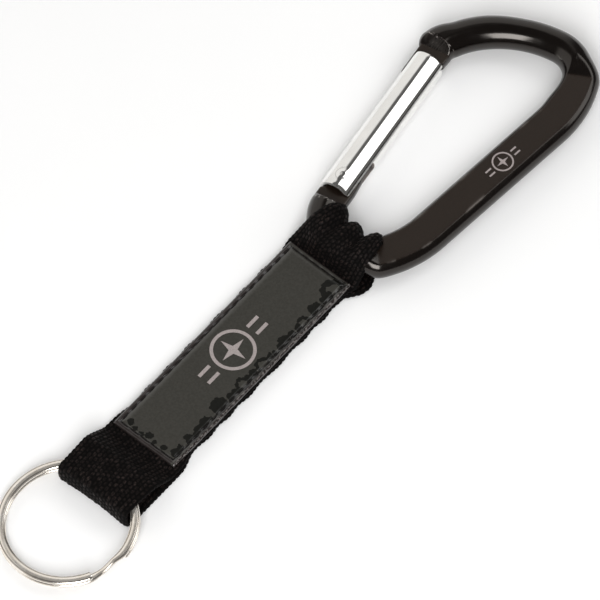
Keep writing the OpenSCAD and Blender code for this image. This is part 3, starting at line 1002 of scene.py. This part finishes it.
def label_height(x, y):
    """The window's upper face, and how far each point lies from its edge.

    It has a rolled border, crinkled on the far side, a sewn groove and a flat middle over the card.
    """
    edge = np.minimum.reduce([x - LABEL_LOW[0], LABEL_HIGH[0] - x,
                              y - LABEL_LOW[1], LABEL_HIGH[1] - y])
    roll = np.sqrt(np.clip(1 - (1 - np.clip(edge / 0.5, 0, 1)) ** 2, 0, 1))
    groove = np.exp(-((edge - STITCH_INSET) / 0.3) ** 2)
    pucker = 0.5 + 0.5 * np.cos(2 * math.pi * (x + y) / STITCH_PITCH)
    crinkle = (np.exp(-((edge - 0.45) / 0.3) ** 2)
               * np.sin(x * 5.1 + 2 * np.sin(x * 1.7)) * np.cos(y * 4.3)
               * smooth((LABEL_LOW[1] + 1.4 - y) / 0.4))
    middle = smooth((edge - 1.4) / 1.2)
    thick = LABEL_HIGH[2] - LABEL_LOW[2]
    height = LABEL_LOW[2] + thick * (0.12 + 0.72 * roll) - groove * (0.2 + 0.1 * pucker)
    return height + 0.04 * middle + 0.04 * crinkle, edge


def label_top(x, y):
    return float(label_height(np.array(x), np.array(y))[0])


def cling_spots():
    """Round patches beside the stitches where the window clings: (x, y, radius, hollow radius)."""
    low, high = SEWN_LOW, SEWN_HIGH
    spots = []
    for x in np.arange(low[0] + 1.5, high[0] - 4, 2.1):
        radius = abs(rng.normal(0.95, 0.5)) + 0.25
        hollow = radius * 0.55 if radius > 1.3 and rng.random() < 0.5 else 0.0
        spots.append((x + rng.normal(0, 0.5), low[1] + rng.uniform(0.1, 0.9), radius, hollow))
    for y in np.arange(low[1] + 4, high[1] - 1, 1.9):
        spots.append((low[0] + rng.uniform(0.2, 1.4), y + rng.normal(0, 0.3),
                      rng.uniform(0.5, 1.3), 0.0))
    spots.append((high[0] - 2.8, low[1] + 0.6, 3.2, 1.7))
    spots.append((low[0] + 17, low[1] + 0.8, 2.3, 0.0))
    return spots


def make_label(material):
    """The window over its card, as one closed sheet with a dense grid on top."""
    xs = np.linspace(LABEL_LOW[0], LABEL_HIGH[0], 380)
    ys = np.linspace(LABEL_LOW[1], LABEL_HIGH[1], 120)
    # The rolled edge needs closer points.
    rim_steps = np.array([0.04, 0.11])
    for values in (xs, ys):
        values[1:3] = values[0] + rim_steps
        values[-3:-1] = values[-1] - rim_steps[::-1]
    x, y = np.meshgrid(xs, ys, indexing="ij")
    z, edge = label_height(x, y)
    top = np.stack([x, y, z], -1)
    under = np.stack([x, y, np.full_like(z, LABEL_LOW[2] + 0.02)], -1)
    points = np.concatenate([top.reshape(-1, 3), under.reshape(-1, 3)])
    rows, columns = x.shape
    below = rows * columns
    faces = grid_faces(rows, columns) + [f[::-1] for f in grid_faces(rows, columns, first=below)]
    index = np.arange(below).reshape(rows, columns)
    rim = [*index[:, 0], *index[-1, 1:], *index[-2::-1, -1], *index[0, -2:0:-1]]
    faces += [[a + below, b + below, b, a] for a, b in zip(rim, rim[1:] + rim[:1])]
    label = lay_mesh("label_window_vinyl", points, faces, material, 60)
    # On its two plain sides the border's outer part is as pale as the face.
    plain_edge = np.minimum(y - LABEL_LOW[1], LABEL_HIGH[0] - x)
    pale = 0.85 * smooth((plain_edge - 0.45) / 0.15) * smooth((STITCH_INSET - plain_edge) / 0.1)
    depth = np.full(x.shape, -9.0)
    for at_x, at_y, radius, hollow in cling_spots():
        away = np.hypot(x - at_x, y - at_y)
        depth = np.maximum(depth, np.minimum(radius - away, away - hollow if hollow else 9.0))
    shown = {
        "inset": np.maximum(np.clip((edge - STITCH_INSET) / 0.2, 0, 1), pale),
        # The stitch line darkens for its thread and with painted shade in its groove.
        "seam": np.clip(1.25 * np.exp(-((edge - STITCH_INSET) / 0.15) ** 4), 0, 1),
        "cling": np.clip(0.5 + depth * 0.6, 0, 1),
        # Where the painted highlight glints lie, along the crinkled far edge.
        "crinkled": np.exp(-((y - LABEL_LOW[1] - 0.27) / 0.13) ** 2),
    }
    for name, values in shown.items():
        store(label, name, np.tile(values.reshape(-1), 2))
    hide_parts("label_window", "label_insert")
    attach(label, "strap")


def make_stitches(material):
    """Lock stitches round the label, each dipping into its holes."""
    length, share, thread_r, ring_count = 2.7, 0.93, 0.12, 11
    seats = []
    for count, along in ((19, 0), (5, 1)):
        span = SEWN_HIGH[along] - SEWN_LOW[along]
        for fixed in (SEWN_LOW[1 - along], SEWN_HIGH[1 - along]):
            for i in range(count):
                middle = SEWN_LOW[along] + span * (i + 0.5) / count
                seats.append((along, middle, fixed, min(length, share * span / count)))
    sides = full_turn(10)
    points, faces = [], []
    for along, middle, fixed, size in seats:
        rings = []
        skew = rng.normal(0, 0.05)
        for t in np.linspace(-1, 1, ring_count):
            a = middle + t * size / 2
            b = fixed + skew * t
            x, y = (a, b) if along == 0 else (b, a)
            radius = thread_r * math.sqrt(max(1 - abs(t) ** 4, 0.05))
            z = label_top(x, y) + thread_r * 0.7 - 0.42 * abs(t) ** 3
            for q in sides:
                out, up = radius * math.cos(q), radius * math.sin(q)
                rings.append((x, y + out, z + up) if along == 0 else (x + out, y, z + up))
        rings = np.array(rings).reshape(ring_count, len(sides), 3)
        ring_points, ring_faces = capped_tube(rings)
        faces += [[k + len(points) for k in f] for f in ring_faces]
        points += ring_points.tolist()
    stitches = lay_mesh("label_stitches", points, faces, material)
    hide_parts("label_stitching")
    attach(stitches, "strap")


# --- Printed ornament: a plain four-pointed star in a ring, between two short bars ---
def ornament(scale):
    """Its closed outlines, in millimetres round its centre, as (outer, inner or None)."""
    turn = full_turn(64)
    circle = np.column_stack([np.cos(turn), np.sin(turn)])
    spikes = full_turn(8)
    reach = np.where(np.arange(8) % 2 == 0, 3.4, 0.95)[:, None]
    star = reach * np.column_stack([np.cos(spikes), np.sin(spikes)])
    shapes = [(5.0 * circle, 4.25 * circle), (star, None)]
    for side in (-1, 1):
        for y in (-1.3, 1.3):
            bar = np.array([(6.2, y - 0.4), (9.6, y - 0.4), (9.6, y + 0.4), (6.2, y + 0.4)])
            shapes.append((bar * [side, 1], None))
    return [(outer * scale, None if inner is None else inner * scale) for outer, inner in shapes]


def make_print(name, centre, turn, scale, height, material, body):
    """Lays the ornament as a thin raised print; height(x, y) is the face that it lies on."""
    points, faces = [], []
    c, s = math.cos(turn), math.sin(turn)
    # The print's skirt ends below the face, and its top stands above it.
    skirt, ink = -0.05, 0.03

    def lay(ring, lift):
        for x, y in ring:
            px, py = centre[0] + c * x - s * y, centre[1] + s * x + c * y
            points.append((px, py, height(px, py) + lift))

    for outer, inner in ornament(scale):
        first, n = len(points), len(outer)
        solid = inner is None
        if solid:
            inner = outer.mean(0) + (outer - outer.mean(0)) * 0.02
        lay(outer, skirt)
        lay(outer, ink)
        lay(inner, ink)
        if not solid:
            lay(inner, skirt)
        faces += grid_faces(3 if solid else 4, n, wrap_columns=True, first=first)
        if solid:
            faces.append(list(range(first + 2 * n, first + 3 * n)))
    mark = lay_mesh(name, points, faces, material, 30)
    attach(mark, body)


def make_prints(material):
    make_print("label_ornament", (-18.4, STRAP_Y + 0.5), 0.0, 1.05, label_top,
               material, "strap")
    spine, heading = station(4)
    middle = spine + 23.3 * np.array([math.cos(heading), math.sin(heading)])
    make_print("spine_ornament", middle, heading, 0.5, lambda x, y: BAR_Z + SPINE_H,
               material, "hook")


# --- Split ring ---
def make_ring(material):
    """One wire in two turns, with its short jog, as a sweep of a flattened round section."""
    wire_w, wire_t, outside, gap = 2.1, 1.1, 16.0, 0.06
    starts, jog_from, jog_to, ends = -85.5, 248.0, 266.0, 601.0
    # At the jog the wire runs further in and is narrower by this share.
    pinch_in, pinch_share = 0.35, 0.3
    steps = np.linspace(starts, ends, 560)
    low = -(wire_t + gap) / 2
    level = low * (1 - 2 * smooth((steps - jog_from) / (jog_to - jog_from)))
    mid_r = outside - wire_w / 2
    profile = full_turn(72)
    power = 2 / 2.1
    px = wire_w / 2 * np.sign(np.cos(profile)) * np.abs(np.cos(profile)) ** power
    pz = wire_t / 2 * np.sign(np.sin(profile)) * np.abs(np.sin(profile)) ** power
    rows = []
    for step, z in zip(steps, level):
        q = math.radians(step)
        pinch = math.exp(-((step - (jog_from + jog_to) / 2) / 13) ** 4)
        r = mid_r - pinch_in * pinch + px * (1 - pinch_share * pinch)
        rows.append(np.column_stack([r * math.cos(q), r * math.sin(q), z + pz]))
    for end in (0, -1):
        rows[end] = rows[end].mean(0) + (rows[end] - rows[end].mean(0)) * 0.8
    points, faces = capped_tube(np.array(rows))
    tilt = Vector((0, 0, 1)).rotation_difference(RING_AXIS).to_matrix()
    points = points @ np.array(tilt).T + RING_AT
    ring = lay_mesh("split_ring_wire", points, faces, material, 50)
    # Painted dark reflection lines along the wire, at these degrees round its section
    painted_dark_lines = sum(np.exp(-((np.degrees(profile) - at) / 9) ** 2) for at in (50, 130, 205, 338))
    store(ring, "painted_dark_lines", np.tile(0.9 * painted_dark_lines, len(steps)))
    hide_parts("split_ring")
    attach(ring, "ring")


def make_object():
    aluminium, steel, web = aluminium_look(), steel_look(), webbing_look()
    make_hook(anodised_look())
    make_gate_tube(aluminium)
    make_rivet(aluminium)
    make_spring(steel)
    plunger = frame["nodes"]["spring_plunger"]
    plunger.data.materials.clear()
    plunger.data.materials.append(steel)
    make_panels(web)
    make_tail(web)
    make_top_loop(web)
    make_label(vinyl_look())
    make_stitches(thread_look())
    make_prints(print_look())
    make_ring(nickel_look())


bpy.context.scene.view_settings.view_transform = "Standard"
make_camera()
make_stage()
make_object()
